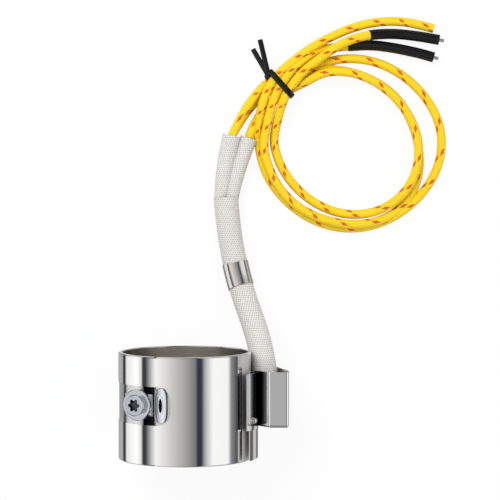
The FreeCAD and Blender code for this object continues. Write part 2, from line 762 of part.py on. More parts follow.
# The three leads where they aren't coiled: from the thin sleeves past the tie to their cut ends.
LEAD_ROUTES = {
    "lead_bare": [
        (16.75, 97.15, FLOOR + 5.25),
        (21.2, 105.6, FLOOR + 5.2),
        (26.6, 112.2, FLOOR + 5.5),
        (33.8, 117.3, FLOOR + 5.95),
        (38.9, 121.9, FLOOR + 5.9),
        (45.6, 127.9, FLOOR + 5.35),
        (53.4, 133.2, FLOOR + 3.3),
        (62.2, 137.3, FLOOR + 1.75),
        (71.0, 139.1, FLOOR + 1.7),
        (79.0, 139.2, FLOOR + 1.7),
        (85.7, 137.9, FLOOR + 1.75),
        (91.0, 136.5, FLOOR + 1.7),
    ],
    "lead_lower": [
        (16.6, 97.15, FLOOR + 1.75),
        (21.0, 105.8, FLOOR + 1.7),
        (26.4, 112.0, FLOOR + 1.9),
        (33.8, 117.3, FLOOR + 2.65),
        (39.2, 121.9, FLOOR + 2.3),
        (45.4, 126.6, FLOOR + 1.8),
        (52.2, 129.1, FLOOR + 1.7),
        (58.9, 130.0, FLOOR + 1.8),
        (68.1, 130.5, FLOOR + 2.0),
        (76.9, 129.3, FLOOR + 1.95),
        (85.7, 127.4, FLOOR + 2.0),
        (91.0, 125.9, FLOOR + 1.95),
    ],
    "lead_upper": [
        (22.9, 96.15, FLOOR + 3.3),
        (25.3, 102.4, FLOOR + 3.7),
        (28.0, 108.0, FLOOR + 4.4),
        (31.4, 111.5, FLOOR + 5.15),
        (36.0, 114.8, FLOOR + 5.4),
        (42.3, 120.2, FLOOR + 5.4),
        (48.9, 125.3, FLOOR + 5.5),
        (55.4, 130.0, FLOOR + 5.4),
        (62.1, 132.9, FLOOR + 4.9),
        (69.0, 134.3, FLOOR + 3.2),
        (77.0, 134.6, FLOOR + 2.0),
        (85.7, 133.6, FLOOR + 1.95),
        (93.0, 132.3, FLOOR + 1.95),
    ],
}
END_SLEEVES = {"lead_upper": "upper_sleeve_length", "lead_lower": "lower_sleeve_length"}
for label, points in LEAD_ROUTES.items():
    path = route(points, label)
    covered = value(END_SLEEVES[label]) if label in END_SLEEVES else 0.0
    print(label, "uncoiled length", round(path.Length, 1))
    solid_piece(label, tube_shape(stretch(path, 0, path.Length - covered), LEAD))
    if covered:
        end = label.split("_")[1]
        cover = tube_shape(stretch(path, path.Length - covered, path.Length), value("end_sleeve_dia / 2"))
        solid_piece("end_sleeve_" + end, cover)
        last = path.Edges[-1]
        tip = last.valueAt(last.LastParameter)
        way = last.tangentAt(last.LastParameter)
        wire = Part.makeCylinder(value("wire_dia / 2"), value("wire_length"), tip, way)
        solid_piece("wire_tip_" + end, wire)

# The coil: the outer shape of one turn of each lead, with a groove for the tie.
TIE_AT = Vector(34.9, 116.0, 0)
TIE_TURN = 42
COIL_AT = Vector(62.0, 94.2, FLOOR)
COIL_HOLE_SHIFT = Vector(-2.2, 1.6, 0)
coil = body("lead_coil")
coil.Placement = Placement(COIL_AT, Rotation())
drawing = sketch(coil, "XY_Plane")
for centre, across, upward in (
    (Vector(), "coil_outer_x", "coil_outer_y"),
    (COIL_HOLE_SHIFT, "coil_inner_x", "coil_inner_y"),
):
    ring = Part.Ellipse(centre, value(across), value(upward))
    drawing.addGeometry(ring, False)
pad(coil, drawing, "coil_height")
dress(coil, "Fillet", "coil_height * 0.3", lambda e: e.Length > 50)

tie_groove = doc.addObject("Part::Box", "tie_groove")
tie_groove.Length = value("tie_width + 0.6")
tie_groove.Width = 24
tie_groove.setExpression("Length", tied("tie_width + 0.6"))
tie_groove.setExpression("Height", tied("tie_thick + 0.1"))
along = Vector(math.cos(math.radians(TIE_TURN)), math.sin(math.radians(TIE_TURN)), 0)
outward = Vector(-along.y, along.x, 0)
groove_at = TIE_AT - along * (value("tie_width") / 2 + 0.3) - outward * 16
groove_at.z = FLOOR
tie_groove.Placement = Placement(groove_at, Rotation(Vector(0, 0, 1), TIE_TURN))
lead_coil = doc.addObject("Part::Cut", "coil_cut")
lead_coil.Base = coil
lead_coil.Tool = tie_groove
coil.Label = "coil_blank"
lead_coil.Label = "lead_coil"

# Plastic-coated twist tie: a band round the bundle, a twisted neck and two flat ends.
tie = body("twist_tie")
tie_middle = TIE_AT - outward * 1.7
tie_middle.z = FLOOR
tie.Placement = Placement(tie_middle, Rotation(Vector(0, 0, 1), TIE_TURN))
half_width, height = "tie_inner_width / 2", "tie_inner_height"
drawing = sketch(tie, "YZ_Plane")
box_outline(drawing, f"-{half_width} - tie_thick", f"{half_width} + tie_thick", 0, f"{height} + 2 * tie_thick")
box_outline(drawing, f"-{half_width}", half_width, "tie_thick", f"{height} + tie_thick")
pad(tie, drawing, "tie_width", Midplane=True)
dress(tie, "Fillet", "1.2", lambda e: abs(e.BoundBox.XLength - value("tie_width")) < 1e-3 and (
    abs(abs(e.BoundBox.YMin) - value(f"{half_width} + tie_thick")) < 1e-3))
neck = f"{half_width} + tie_thick"
drawing = sketch(tie, "XY_Plane", shift="tie_inner_height * 0.25")
outline(
    drawing,
    [
        ("-tie_width * 0.5", f"{neck} - 0.2"),
        ("tie_width * 0.5", f"{neck} - 0.2"),
        ("tie_width * 0.45", f"{neck} + 2.6"),
        ("tie_tail * 0.36", f"{neck} + tie_tail"),
        ("tie_tail * 0.36 - tie_width * 0.9", f"{neck} + tie_tail + 0.3"),
        ("0", f"{neck} + 3.6"),
        ("-tie_tail * 0.1 - tie_width * 0.6", f"{neck} + tie_tail * 0.9"),
        ("-tie_tail * 0.1 - tie_width * 1.5", f"{neck} + tie_tail * 0.86"),
        ("-tie_width * 0.45", f"{neck} + 2.6"),
    ],
)
pad(tie, drawing, "tie_thick")
doc.recompute()

# Every object is sound before anything is written.
for thing in doc.Objects:
    for word in ("Invalid", "Error"):
        if word in thing.State:
            raise ValueError(f"{thing.Label} is {thing.State}")

NODES = [
    "inner_shell", "inner_mica", "mica_former", "heating_ribbon", "outer_mica", "outer_shell", "outer_sheath",
    "clamp_block", "clamp_tab", "clamp_washer", "clamp_screw", "terminal_cap", "cap_rivets", "terminal_pad",
    "terminal_strips", "crimp_barrels", "lead_ends", "outer_sleeve", "sleeve_clip", "inner_sleeve_left",
    "inner_sleeve_right", "lead_bare", "lead_lower", "lead_upper", "end_sleeve_lower", "end_sleeve_upper",
    "wire_tip_lower", "wire_tip_upper", "lead_coil", "twist_tie",
]
os.makedirs("parts", exist_ok=True)
for name in NODES:
    shape = doc.getObjectsByLabel(name)[0].Shape
    if shape.isNull() or not shape.isValid():
        raise ValueError(name + " has no sound shape")
    shape.exportStep(f"parts/{name}.step")
    print(name, len(shape.Solids), round(shape.Volume, 1))
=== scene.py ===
import math

import bmesh
import bpy
from mathutils import Matrix, Vector


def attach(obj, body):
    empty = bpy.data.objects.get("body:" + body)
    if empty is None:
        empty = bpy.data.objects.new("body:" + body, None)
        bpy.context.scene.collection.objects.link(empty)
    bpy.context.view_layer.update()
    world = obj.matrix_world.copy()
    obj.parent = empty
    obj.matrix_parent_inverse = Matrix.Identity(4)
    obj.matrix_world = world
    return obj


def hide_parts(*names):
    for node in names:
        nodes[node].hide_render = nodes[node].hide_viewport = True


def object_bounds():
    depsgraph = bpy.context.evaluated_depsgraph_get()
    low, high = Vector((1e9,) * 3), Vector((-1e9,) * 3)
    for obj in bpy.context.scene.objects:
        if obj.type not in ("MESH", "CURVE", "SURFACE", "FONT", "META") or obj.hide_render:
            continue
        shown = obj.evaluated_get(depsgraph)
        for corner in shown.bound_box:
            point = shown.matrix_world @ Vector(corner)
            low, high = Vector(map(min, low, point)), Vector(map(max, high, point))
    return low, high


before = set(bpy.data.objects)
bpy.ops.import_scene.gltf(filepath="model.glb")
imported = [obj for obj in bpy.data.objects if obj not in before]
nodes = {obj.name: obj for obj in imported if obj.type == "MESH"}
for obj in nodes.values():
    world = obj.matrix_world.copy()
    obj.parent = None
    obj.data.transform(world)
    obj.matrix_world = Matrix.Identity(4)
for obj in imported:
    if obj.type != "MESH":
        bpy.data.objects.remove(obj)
cadBox = [list(corner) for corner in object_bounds()]
floorZ = cadBox[0][2]
print("frame loaded")


# Shader helpers: a socket that can be written in sums, and one way to add any node.
class Wire:
    def __init__(self, tree, socket):
        self.tree = tree
        self.socket = socket

    def math(self, operation, *values):
        node = self.tree.nodes.new("ShaderNodeMath")
        node.operation = operation
        for slot, item in zip(node.inputs, (self,) + values):
            connect(self.tree, item, slot)
        return Wire(self.tree, node.outputs[0])

    def __add__(self, other):
        return self.math("ADD", other)

    def __sub__(self, other):
        return self.math("SUBTRACT", other)

    def __mul__(self, other):
        return self.math("MULTIPLY", other)

    def __truediv__(self, other):
        return self.math("DIVIDE", other)

    def __rsub__(self, other):
        return self.math("MULTIPLY", -1.0).math("ADD", other)

    def __gt__(self, other):
        return self.math("GREATER_THAN", other)

    def __lt__(self, other):
        return self.math("LESS_THAN", other)

    __radd__ = __add__
    __rmul__ = __mul__


def connect(tree, item, slot):
    if isinstance(item, Wire):
        tree.links.new(item.socket, slot)
    else:
        slot.default_value = item


class Shader:
    def __init__(self, tree):
        self.tree = tree
        tree.nodes.clear()

    def node(self, kind, settings=None, **values):
        made = self.tree.nodes.new(kind)
        for name, setting in (settings or {}).items():
            setattr(made, name, setting)
        for name, item in values.items():
            connect(self.tree, item, made.inputs[name.replace("_", " ")])
        return made

    def wire(self, kind, output=0, settings=None, **values):
        return Wire(self.tree, self.node(kind, settings, **values).outputs[output])

    def mix(self, factor, low, high):
        made = self.node("ShaderNodeMix", {"data_type": "RGBA"})
        connect(self.tree, factor, made.inputs[0])
        connect(self.tree, low, made.inputs[6])
        connect(self.tree, high, made.inputs[7])
        return Wire(self.tree, made.outputs[2])

    def blend(self, factor, low, high):
        made = self.node("ShaderNodeMixShader")
        for slot, item in zip(made.inputs, (factor, low, high)):
            connect(self.tree, item, slot)
        return Wire(self.tree, made.outputs[0])

    def vector(self, operation, first, second, output=0):
        made = self.node("ShaderNodeVectorMath", {"operation": operation})
        connect(self.tree, first, made.inputs[0])
        connect(self.tree, second, made.inputs[1])
        return Wire(self.tree, made.outputs[output])

    def split(self, vector):
        parts = self.node("ShaderNodeSeparateXYZ", Vector=vector)
        return [Wire(self.tree, out) for out in parts.outputs]


def newMaterial(name):
    made = bpy.data.materials.new(name)
    made.use_nodes = True
    return made, Shader(made.node_tree)


def finishMaterial(made, shader, bump=None, **values):
    if bump:
        values["Normal"] = shader.wire("ShaderNodeBump", **bump)
    surface = shader.wire("ShaderNodeBsdfPrincipled", **values)
    shader.node("ShaderNodeOutputMaterial", Surface=surface)
    return made


def plain(name, colour, roughness, metallic=0.0, coat=0.0):
    made, shader = newMaterial(name)
    return finishMaterial(
        made,
        shader,
        Base_Color=(*colour, 1.0),
        Metallic=metallic,
        Roughness=roughness,
        Coat_Weight=coat,
    )


# Painted shade and painted dark reflections on the steel, in metres: in the slit, on the cover under the
# catch plate's hole, on the cap's slanted wall, on the panel beside the cap's flange and in the recess in
# the screw's head.
shadows = {
    "colour": (0.01, 0.011, 0.014),
    "slit": {"middle": -0.012, "half": 0.0021},
    "hole": {"x": -0.0079, "y": 0.0023, "halfX": 0.0011, "halfY": 0.0028},
    "wall": {"from": 0.0259, "to": 0.0298, "gain": 1.3, "least": 0.2},
    "panel": {"left": 0.0186, "right": 0.0216, "low": -0.0074, "high": 0.012, "depth": 0.55},
    "recess": {
        "through": Vector((-0.015983, 0.0023, 0.019914)),
        "way": Vector((-0.45399, 0, 0.89101)),
        "radius": 0.0023,
        "top": 0.00275,
        "depth": 0.9,
    },
}


# A shadow is 1 where it is deepest and 0 outside its place.
def near(wire, middle, half):
    return (wire - middle).math("ABSOLUTE") < half


def slitShadow(shader, place):
    slit = shadows["slit"]
    return near(shader.split(place)[0], slit["middle"], slit["half"])


def holeShadow(shader, place):
    hole = shadows["hole"]
    x, y, z = shader.split(place)
    return near(x, hole["x"], hole["halfX"]) * near(y, hole["y"], hole["halfY"])


def wallShadow(shader, place):
    wall = shadows["wall"]
    deep = 1.0 - (shader.split(place)[0] - wall["from"]) / (wall["to"] - wall["from"])
    return (deep > 0.0) * (deep < 1.0) * (deep * wall["gain"] + wall["least"]).math("MINIMUM", 1.0)


def panelShadow(shader, place):
    panel = shadows["panel"]
    x, y, z = shader.split(place)
    inside = (x > panel["left"]) * (x < panel["right"]) * (y > panel["low"]) * (y < panel["high"])
    return inside * (z > 0.0) * panel["depth"]


def recessShadow(shader, place):
    recess = shadows["recess"]
    offset = shader.vector("SUBTRACT", place, recess["through"])
    off = shader.vector("CROSS_PRODUCT", offset, recess["way"])
    across = shader.vector("LENGTH", off, recess["way"], "Value")
    along = shader.vector("DOT_PRODUCT", offset, recess["way"], "Value")
    return (across < recess["radius"]) * (along < recess["top"]) * recess["depth"]


# Polished steel with faint rub marks along the strip, duller at the seam where a dullness is given, and
# darkened by painted shade and painted dark reflections where shadows are listed.
seam = {"from": 0.0205, "to": 0.0228, "roughness": 0.5}
rubMarks = {
    "cloudScale": 60.0,
    "cloudDetail": 3.0,
    "cloudRoughness": 0.05,
    "streakScale": Vector((900.0, 40.0, 900.0)),
    "streakDetail": 2.0,
    "depth": 0.00002,
}
steels = {
    "polishedSteel": {
        "colour": (0.82, 0.815, 0.81),
        "roughness": 0.04,
        "grain": 0.05,
        "dullness": 0.35,
        "shadows": [panelShadow],
    },
    "capSteel": {"colour": (0.86, 0.86, 0.87), "roughness": 0.06, "grain": 0.05, "shadows": [wallShadow]},
    "clipSteel": {"colour": (0.66, 0.64, 0.61), "roughness": 0.13, "grain": 0.1},
    "coverSteel": {
        "colour": (0.6, 0.59, 0.57),
        "roughness": 0.12,
        "grain": 0.1,
        "dullness": 0.75,
        "shadows": [slitShadow, holeShadow, panelShadow],
    },
    "coreSteel": {"colour": (0.96, 0.93, 0.89), "roughness": 0.14, "grain": 0.12},
    "zincPlate": {"colour": (0.75, 0.79, 0.84), "roughness": 0.07, "grain": 0.04},
    "screwZinc": {"colour": (0.68, 0.73, 0.8), "roughness": 0.09, "grain": 0.04, "shadows": [recessShadow]},
}


def steel(name):
    facts = steels[name]
    made, shader = newMaterial(name)
    place = shader.wire("ShaderNodeTexCoord", "Object")
    cloud = shader.wire(
        "ShaderNodeTexNoise", Vector=place, Scale=rubMarks["cloudScale"], Detail=rubMarks["cloudDetail"]
    )
    streaks = shader.wire("ShaderNodeMapping", Vector=place, Scale=rubMarks["streakScale"])
    lines = shader.wire("ShaderNodeTexNoise", Vector=streaks, Scale=1.0, Detail=rubMarks["streakDetail"])
    colour = (*facts["colour"], 1.0)
    metallic = 1.0
    roughness = cloud * rubMarks["cloudRoughness"] + facts["roughness"]
    # Painted shade and dark reflections: inside each listed place the colour goes towards the shadow colour.
    dark = [shadow(shader, place) for shadow in facts.get("shadows", [])]
    if dark:
        deepest = dark[0]
        for shadow in dark[1:]:
            deepest = deepest.math("MAXIMUM", shadow)
        colour = shader.mix(deepest, colour, (*shadows["colour"], 1.0))
    if "dullness" in facts:
        x = shader.split(place)[0]
        dull = (x > seam["from"]) * (x < seam["to"]) * facts["dullness"]
        metallic = 1.0 - dull
        roughness = roughness + dull * seam["roughness"]
    return finishMaterial(
        made,
        shader,
        bump={"Height": lines, "Strength": facts["grain"], "Distance": rubMarks["depth"]},
        Base_Color=colour,
        Metallic=metallic,
        Roughness=roughness,
    )


# Braided lead: yellow yarn, with orange tracer marks in pairs that climb round it.
def leadBraid(name, length, look):
    made, shader = newMaterial(name)
    along, around, unused = shader.split(shader.wire("ShaderNodeTexCoord", "UV"))
    distance = along * length
    columns = around * look["columns"]
    across = columns.math("FRACT") - 0.5
    run = (distance / look["repeat"] + columns.math("FLOOR") * look["stagger"]).math("FRACT") - 0.5
    marks = None
    for shift, side in look["pair"]:
        aside = (across - side) * look["columnWidth"]
        reach = ((run - shift) * look["repeat"] - aside * look["lean"]).math("ABSOLUTE") / look["markLength"]
        breadth = aside.math("ABSOLUTE") / look["markWidth"]
        mark = reach.math("MAXIMUM", breadth) < 1.0
        marks = mark if marks is None else marks.math("MAXIMUM", mark)
    turnA = ((distance / look["yarn"] + around * look["yarns"]) * math.tau).math("SINE")
    turnB = ((distance / look["yarn"] - around * look["yarns"]) * math.tau).math("SINE")
    weave = turnA * turnB * 0.5 + 0.5
    place = shader.wire("ShaderNodeTexCoord", "Object")
    fuzz = shader.wire("ShaderNodeTexNoise", Vector=place, Scale=look["fuzzScale"])
    yellow = shader.mix(weave, (*look["shade"], 1.0), (*look["yellow"], 1.0))
    marks = marks * (look["markDepth"] + fuzz * look["markFuzz"])
    return finishMaterial(
        made,
        shader,
        bump={"Height": weave + fuzz * 0.5, "Strength": look["grain"], "Distance": look["depth"]},
        Base_Color=shader.mix(marks, yellow, (*look["tracer"], 1.0)),
        Roughness=look["roughness"],
    )


# Knitted sleeve: off-white loops in rows, with small grey gaps between them.
def knitSleeve(name, girth, look):
    made, shader = newMaterial(name)
    place = shader.wire("ShaderNodeTexCoord", "Object")
    around = shader.split(shader.wire("ShaderNodeTexCoord", "UV"))[1]
    rows = shader.split(place)[1] / look["row"]
    stitches = around * round(girth / look["stitch"]) + (rows.math("FLOOR") * 0.5).math("FRACT")
    aside = (stitches.math("FRACT") - 0.5) * 2.0
    ahead = (rows.math("FRACT") - 0.5) * 2.0
    spot = (aside * aside * look["gapAcross"] + ahead * ahead * look["gapAlong"]).math("SQRT")
    gap = (1.0 - spot).math("MAXIMUM", 0.0)
    cloud = shader.wire(
        "ShaderNodeTexNoise", Vector=place, Scale=look["cloudScale"], Detail=look["cloudDetail"]
    )
    depth = (gap * (look["gapDepth"] + cloud * look["gapCloud"])).math("MINIMUM", 1.0)
    return finishMaterial(
        made,
        shader,
        bump={"Height": 1.0 - gap, "Strength": look["grain"], "Distance": look["depth"]},
        Base_Color=shader.mix(depth, (*look["light"], 1.0), (*look["dark"], 1.0)),
        Roughness=look["roughness"],
    )


polished, capSteel, clipSteel, coverSteel, coreSteel, zinc, screwZinc = [steel(name) for name in steels]
micaSheet = plain("micaSheet", (0.55, 0.47, 0.34), roughness=0.4, coat=0.3)
ribbonAlloy = plain("ribbonAlloy", (0.42, 0.39, 0.36), roughness=0.35, metallic=1.0)
blackTube = plain("blackTube", (0.003, 0.003, 0.0035), roughness=0.3)
tinned = plain("tinnedWire", (0.8, 0.8, 0.8), roughness=0.28, metallic=1.0)
tiePlastic = plain("tiePlastic", (0.003, 0.003, 0.0035), roughness=0.22)
cordCore = plain("cordCore", (0.8, 0.5, 0.03), roughness=0.7)

nodeLooks = {
    polished: ("outer_sheath",),
    capSteel: ("terminal_cap",),
    clipSteel: ("sleeve_clip", "cap_rivets"),
    coverSteel: ("outer_shell",),
    coreSteel: ("inner_shell",),
    zinc: ("clamp_block", "clamp_washer"),
    screwZinc: ("clamp_screw",),
    micaSheet: ("inner_mica", "mica_former", "outer_mica", "terminal_pad"),
    ribbonAlloy: ("heating_ribbon", "terminal_strips", "crimp_barrels"),
    blackTube: ("end_sleeve_lower", "end_sleeve_upper"),
    tinned: ("wire_tip_lower", "wire_tip_upper"),
    cordCore: ("lead_ends",),
}
for look, names in nodeLooks.items():
    for name in names:
        nodes[name].data.materials.clear()
        nodes[name].data.materials.append(look)
print("materials made")


# Route points in millimetres, with heights above the floor, become points in metres.
def aboveFloor(points):
    return [Vector((x / 1000, y / 1000, floorZ + z / 1000)) for x, y, z in points]


def between(stops, angle):
    stops = sorted(stops)
    for (low, first), (high, second) in zip(stops, stops[1:]):
        if low <= angle <= high:
            return first + (second - first) * (angle - low) / (high - low)
    return stops[0][1] if angle < stops[0][0] else stops[-1][1]


# One turn of a lead, clockwise from the tie round to the left side of the loop.
def turnPoints(turn):
    points = []
    start, end = turn["angles"]
    for step in range(turn["count"]):
        angle = start + (end - start) * step / (turn["count"] - 1)
        way = math.radians(angle)
        size = 1 + turn["bulge"] * math.sin(2 * way) ** 2 - turn["slant"] * math.sin(2 * way)
        points.append(
            (
                turn["middle"][0] + turn["radii"][0] * size * math.cos(way),
                turn["middle"][1] + turn["radii"][1] * size * math.sin(way),
                between(turn["heights"], angle),
            )
        )
    return points


curveDetail = {"order": 3, "steps": 10, "round": 6}


def nurbs(name, points, radius, look, swell=None):
    data = bpy.data.curves.new(name, "CURVE")
    data.dimensions = "3D"
    spline = data.splines.new("NURBS")
    spline.points.add(len(points) - 1)
    for index, point in enumerate(points):
        spline.points[index].co = (*point, 1.0)
        spline.points[index].radius = swell[index] if swell else 1.0
    spline.order_u = curveDetail["order"]
    spline.use_endpoint_u = True
    spline.resolution_u = curveDetail["steps"]
    data.bevel_depth = radius
    data.bevel_resolution = curveDetail["round"]
    data.materials.append(look)
    made = bpy.data.objects.new(name, data)
    bpy.context.collection.objects.link(made)
    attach(made, "band")
    return made


def newPiece(name, shape, look, *replaced):
    bmesh.ops.recalc_face_normals(shape, faces=shape.faces[:])
    for face in shape.faces:
        face.smooth = True
    data = bpy.data.meshes.new(name)
    shape.to_mesh(data)
    shape.free()
    data.materials.append(look)
    made = bpy.data.objects.new(name, data)
    bpy.context.collection.objects.link(made)
    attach(made, "band")
    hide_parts(*replaced)
    return made


# A power below 1 squares off a sine or cosine, so that a circle becomes a rounded box.
def squareness(value, power):
    return math.copysign(abs(value) ** power, value)


def bevelEdges(shape, edges, offset, segments):
    bmesh.ops.bevel(
        shape,
        geom=edges,
        offset=offset,
        offset_type="OFFSET",
        affect="EDGES",
        segments=segments,
        profile=0.5,
        material=-1,
    )


# Leads: each comes out of a thin sleeve, passes the tie low down, goes once round and comes back on top.
leadLook = {
    "repeat": 0.0104,
    "columns": 2.0,
    "columnWidth": 0.00518,
    "stagger": 0.5,
    "pair": ((-0.12, -0.17), (0.12, 0.17)),
    "markLength": 0.0009,
    "markWidth": 0.00058,
    "lean": 1.1,
    "yarn": 0.0009,
    "yarns": 12.0,
    "yellow": (0.96, 0.68, 0.006),
    "shade": (0.72, 0.45, 0.004),
    "tracer": (0.56, 0.045, 0.004),
    "markDepth": 0.72,
    "markFuzz": 0.3,
    "fuzzScale": 2200.0,
    "grain": 0.35,
    "depth": 0.00012,
    "roughness": 0.62,
    "width": 0.0033,
}
leads = {
    "bare": {
        "entry": [(16.75, 97.15, 5.25), (20.6, 105.3, 5.0), (25.2, 111.9, 4.0), (29.0, 116.0, 2.6)]
        + [(32.6, 118.6, 1.95), (39.2, 122.2, 1.75)],
        "turn": {
            "middle": (60.5, 94.15),
            "radii": (34.1, 31.75),
            "bulge": -0.025,
            "slant": 0.0,
            "angles": (112, -180),
            "count": 17,
            "heights": [(112, 1.7), (-165, 1.7), (-180, 1.9)],
        },
        "back": [(26.2, 100.0, 3.3), (27.1, 105.8, 4.9), (29.1, 112.6, 5.3), (32.6, 118.6, 5.35)],
        "tail": [(38.0, 123.5, 5.3), (45.2, 129.0, 4.6), (53.4, 133.6, 3.0), (62.2, 137.3, 1.75)]
        + [(71.0, 139.1, 1.7), (79.0, 139.2, 1.7), (85.7, 137.9, 1.75), (91.0, 136.5, 1.7)],
        "length": 0.298,
        "farEnd": "bare",
        "pieces": [],
        "nodes": ["lead_bare", "lead_coil"],
    },
    "lower": {
        "entry": [(16.6, 97.15, 1.75), (21.4, 105.4, 1.7), (27.6, 111.8, 1.75), (34.9, 116.2, 1.85)]
        + [(41.6, 119.1, 1.75)],
        "turn": {
            "middle": (56.95, 92.9),
            "radii": (28.85, 28.4),
            "bulge": 0.04,
            "slant": 0.08,
            "angles": (106, -180),
            "count": 17,
            "heights": [(106, 1.7), (-45, 1.7), (-60, 2.6), (-75, 4.2), (-90, 4.4), (-135, 4.4)]
            + [(-180, 4.7)],
        },
        "back": [(29.3, 99.6, 5.1), (30.7, 106.0, 5.3), (32.3, 111.3, 5.35), (34.9, 116.2, 5.35)],
        "tail": [(39.2, 122.1, 5.1), (45.6, 127.0, 3.6), (52.2, 129.3, 1.8), (58.9, 130.0, 1.8)]
        + [(68.1, 130.5, 2.0), (76.9, 129.3, 1.95), (85.7, 127.4, 2.0), (91.0, 125.9, 1.95)],
        "length": 0.268,
        "farEnd": "fitting",
        "pieces": ["end_sleeve_lower", "wire_tip_lower"],
        "nodes": ["lead_lower"],
    },
    "upper": {
        "entry": [(22.9, 96.15, 3.3), (24.9, 102.0, 2.5), (29.9, 108.6, 1.75), (37.2, 113.6, 1.85)]
        + [(43.2, 116.5, 3.3)],
        "turn": {
            "middle": (58.7, 94.3),
            "radii": (26.8, 26.4),
            "bulge": 0.0,
            "slant": 0.07,
            "angles": (106, -180),
            "count": 17,
            "heights": [(106, 5.0), (0, 5.0), (-45, 4.4), (-75, 3.0), (-100, 1.8), (-180, 1.9)],
        },
        "back": [(32.8, 100.0, 3.4), (34.2, 105.9, 4.9), (35.6, 109.9, 5.3), (37.2, 113.5, 5.35)],
        "tail": [(42.3, 120.2, 5.5), (48.9, 125.3, 5.5), (55.4, 130.0, 5.4), (62.1, 132.9, 4.9)]
        + [(69.0, 134.3, 3.2), (77.0, 134.6, 2.0), (85.7, 133.6, 1.95), (93.0, 132.3, 1.95)],
        "length": 0.252,
        "farEnd": "fitting",
        "pieces": ["end_sleeve_upper", "wire_tip_upper"],
        "nodes": ["lead_upper"],
    },
}


def makeLead(name, lead):
    points = aboveFloor(lead["entry"] + turnPoints(lead["turn"]) + lead["back"] + lead["tail"])
    look = leadBraid(name + "Braid", lead["length"], leadLook)
    made = nurbs(name + "Lead", points, leadLook["width"] / 2, look)
    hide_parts(*lead["nodes"])


for name, lead in leads.items():
    makeLead(name, lead)
print("leads made")

# Sleeves: the thick one leaves the cap and is crimped over the two thin ones, whose mouths flare.
knitLook = {
    "row": 0.00078,
    "stitch": 0.00085,
    "gapAcross": 1.4,
    "gapAlong": 1.9,
    "gapDepth": 0.35,
    "gapCloud": 1.3,
    "cloudScale": 900.0,
    "cloudDetail": 2.0,
    "grain": 0.5,
    "depth": 0.0002,
    "roughness": 0.75,
    "light": (0.68, 0.66, 0.62),
    "dark": (0.17, 0.16, 0.145),
}
thickSleeve = {
    "points": [(29.7, 5.4, 20.8), (28.5, 12.7, 19.9), (27.35, 19.2, 16.5), (25.3, 26.5, 12.1)]
    + [(22.3, 34.5, 8.1), (19.3, 43.6, 5.4), (17.0, 53.6, 4.55), (15.3, 64.0, 4.7), (14.4, 74.4, 4.55)],
    "width": 0.009,
    "length": 0.0735,
}
thinSleeves = {
    "Left": {
        "points": [(12.7, 70.5, 4.6), (12.9, 75.0, 4.5), (13.6, 82.0, 3.9), (15.0, 90.0, 3.6)]
        + [(16.75, 97.15, 3.5)],
        "swell": [0.8, 0.82, 0.93, 1.0, 1.06],
        "node": "inner_sleeve_left",
    },
    "Right": {
        "points": [(16.0, 70.5, 4.6), (16.6, 75.0, 4.5), (18.2, 82.0, 3.9), (20.5, 89.5, 3.5)]
        + [(22.9, 96.15, 3.3)],
        "swell": [0.8, 0.8, 0.84, 0.88, 0.94],
        "node": "inner_sleeve_right",
    },
}
thinRadius = 0.0033


def makeSleeves():
    points = aboveFloor(thickSleeve["points"])
    look = knitSleeve("thickKnit", math.pi * thickSleeve["width"], knitLook)
    made = nurbs("thickSleeve", points, thickSleeve["width"] / 2, look)
    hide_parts("outer_sleeve")
    for side, sleeve in thinSleeves.items():
        look = knitSleeve("thinKnit" + side, math.tau * thinRadius, knitLook)
        thin = nurbs("thinSleeve" + side, aboveFloor(sleeve["points"]), thinRadius, look, sleeve["swell"])
        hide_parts(sleeve["node"])


makeSleeves()
print("sleeves made")

# Catch plate beside the slit: a round-ended plate with a long hole, laid on the band's curve, its right edge
# a little higher.
catch = {
    "angle": -18.9,
    "y": 0.0023,
    "low": 0.02412,
    "rise": 0.0006,
    "thick": 0.0005,
    "plate": {"half": (0.00225, 0.0061), "shift": 0.0, "power": 0.62},
    "hole": {"half": (0.0006, 0.0024), "shift": 0.0001, "power": 1.0},
    "segments": 56,
    "rings": 3,
    "edge": 0.00014,
    "edgeSteps": 3,
    "sharpest": 1.0,
}


def makeCatch():
    shape = bmesh.new()
    rings = {}
    for part in ("plate", "hole"):
        facts = catch[part]
        ring = bmesh.ops.create_circle(shape, segments=catch["segments"], radius=1.0)["verts"]
        for vert in ring:
            c, s = vert.co.x, vert.co.y
            x = squareness(c, facts["power"]) * facts["half"][0] + facts["shift"]
            vert.co = (x, squareness(s, facts["power"]) * facts["half"][1], 0)
        rings[part] = ring
    bmesh.ops.bridge_loops(shape, edges=shape.edges[:])
    outer = set(rings["plate"])
    spokes = [edge for edge in shape.edges if len(outer.intersection(edge.verts)) == 1]
    bmesh.ops.subdivide_edges(shape, edges=spokes, cuts=catch["rings"])
    bmesh.ops.recalc_face_normals(shape, faces=shape.faces[:])
    bmesh.ops.solidify(shape, geom=shape.faces[:], thickness=catch["thick"])
    halfWidth = catch["plate"]["half"][0]
    for vert in shape.verts:
        lift = catch["low"] + catch["rise"] * (vert.co.x + halfWidth) / (2 * halfWidth) + vert.co.z
        way = math.radians(catch["angle"]) + vert.co.x / catch["low"]
        vert.co = (lift * math.sin(way), catch["y"] + vert.co.y, lift * math.cos(way))
    rims = [edge for edge in shape.edges if edge.calc_face_angle(0) > catch["sharpest"]]
    bevelEdges(shape, rims, catch["edge"], catch["edgeSteps"])
    made = newPiece("catchPlate", shape, zinc, "clamp_tab")


makeCatch()

